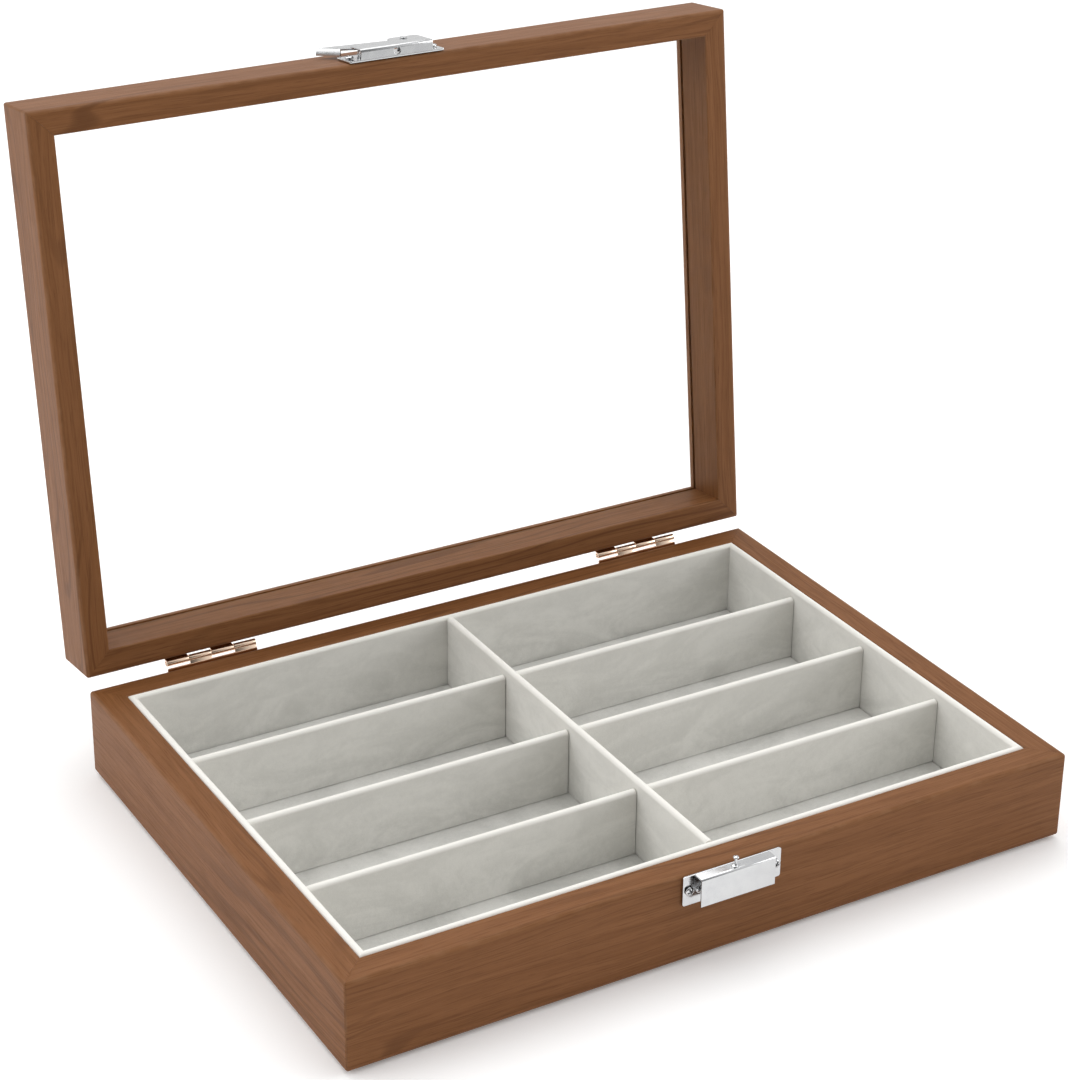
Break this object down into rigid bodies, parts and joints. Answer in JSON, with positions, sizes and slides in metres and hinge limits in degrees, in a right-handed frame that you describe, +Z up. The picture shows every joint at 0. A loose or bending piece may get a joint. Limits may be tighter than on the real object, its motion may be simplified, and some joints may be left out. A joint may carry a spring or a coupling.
{
  "type": "glasses organizer box",
  "caption": "Shallow wood-grain box with velvet-lined glasses compartments under a hinged lid with a clear pane, brass hinges and a chrome press catch.",
  "frame": {"origin": "centre of the box's underside, on the surface that it stands on", "axes": "+X to the right along the front, +Y to the hinged back, +Z up"},
  "size_m": [0.33, 0.305, 0.2922],
  "materials": {
    "wood_grain_wrap": "satin walnut wood-grain wrap over board, rounded edges",
    "fibreboard": "bare fibreboard",
    "grey_velvet": "short-nap light grey velvet over board",
    "black_felt": "thin black felt",
    "clear_glass": "clear polished sheet glass",
    "brass": "bright rose-tinted brass, stamped",
    "chrome": "bright nickel-chrome plate"
  },
  "bodies": {
    "base": {"base_back_wall": "wood_grain_wrap", "base_bottom_panel": "fibreboard", "base_felt": "black_felt", "base_front_wall": "wood_grain_wrap", "base_left_wall": "wood_grain_wrap", "base_right_wall": "wood_grain_wrap", "catch_body": "chrome", "catch_nub": "chrome", "catch_screw_left": "chrome", "catch_screw_right": "chrome", "divider_centre": "grey_velvet", "divider_left_1": "grey_velvet", "divider_left_2": "grey_velvet", "divider_left_3": "grey_velvet", "divider_right_1": "grey_velvet", "divider_right_2": "grey_velvet", "divider_right_3": "grey_velvet", "floor_pad": "grey_velvet", "hinge_left_base_leaf": "brass", "hinge_left_base_nail_1": "brass", "hinge_left_base_nail_2": "brass", "hinge_left_pin": "brass", "hinge_right_base_leaf": "brass", "hinge_right_base_nail_1": "brass", "hinge_right_base_nail_2": "brass", "hinge_right_pin": "brass", "liner_back_wall": "grey_velvet", "liner_front_wall": "grey_velvet", "liner_left_wall": "grey_velvet", "liner_right_wall": "grey_velvet"},
    "lid": {"glass_pane": "clear_glass", "hinge_left_lid_leaf": "brass", "hinge_left_lid_nail_1": "brass", "hinge_left_lid_nail_2": "brass", "hinge_right_lid_leaf": "brass", "hinge_right_lid_nail_1": "brass", "hinge_right_lid_nail_2": "brass", "latch_body": "chrome", "latch_pivot_pin": "chrome", "latch_screw_left": "chrome", "latch_screw_right": "chrome", "latch_spring": "chrome", "lid_back_rail": "wood_grain_wrap", "lid_front_rail": "wood_grain_wrap", "lid_left_rail": "wood_grain_wrap", "lid_right_rail": "wood_grain_wrap"},
    "latch_lever": {"latch_lever": "chrome"}
  },
  "joints": [
    {"name": "lid_hinge", "type": "hinge", "parent": "base", "child": "lid", "pos_m": [0, 0.124, 0.0427], "axis": [1, 0, 0], "range_deg": [0, 96.7]},
    {"name": "latch_lever_pivot", "type": "hinge", "parent": "lid", "child": "latch_lever", "pos_m": [0.009, 0.16267, 0.28535], "axis": [0, 0.1167, 0.9932], "range_deg": [0, 4], "stiffness_Nm_per_rad": 0.05, "springref_deg": -17.19}
  ]
}
